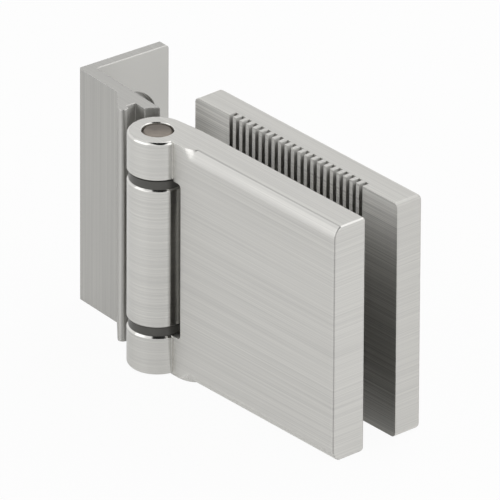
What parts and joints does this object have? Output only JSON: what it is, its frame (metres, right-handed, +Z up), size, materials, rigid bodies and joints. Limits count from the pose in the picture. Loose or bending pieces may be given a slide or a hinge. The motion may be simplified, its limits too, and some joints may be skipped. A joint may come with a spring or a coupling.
{
  "type": "l-plate glass hinge",
  "caption": "Wall-to-glass door hinge: an L-shaped wall leaf with a barrel, and a two-eared door leaf with a grooved back plate that clamps the glass.",
  "frame": {"origin": "centre of the wall leaf's mounting face", "axes": "+X away from the wall, +Y towards the back plate, +Z up along the pin"},
  "size_m": [0.1079, 0.0394, 0.065],
  "materials": {
    "brushed_metal": "brushed nickel-coloured metal, polished on the rounded rims",
    "pin_steel": "turned steel",
    "bush_plastic": "dark moulded plastic",
    "screw_steel": "plain stainless steel",
    "sleeve_plastic": "natural nylon"
  },
  "bodies": {
    "wall_side": {"wall_leaf": "brushed_metal", "upper_bush": "bush_plastic", "lower_bush": "bush_plastic"},
    "door_side": {"door_leaf": "brushed_metal", "back_plate": "brushed_metal", "hinge_pin": "pin_steel", "upper_clamp_screw": "screw_steel", "lower_clamp_screw": "screw_steel", "upper_screw_sleeve": "sleeve_plastic", "lower_screw_sleeve": "sleeve_plastic", "upper_grub_screw": "screw_steel", "lower_grub_screw": "screw_steel"}
  },
  "joints": [
    {"name": "door_swing", "type": "hinge", "parent": "wall_side", "child": "door_side", "pos_m": [0.039, -0.01705, 0], "axis": [0, 0, -1], "range_deg": [-41, 171]}
  ]
}
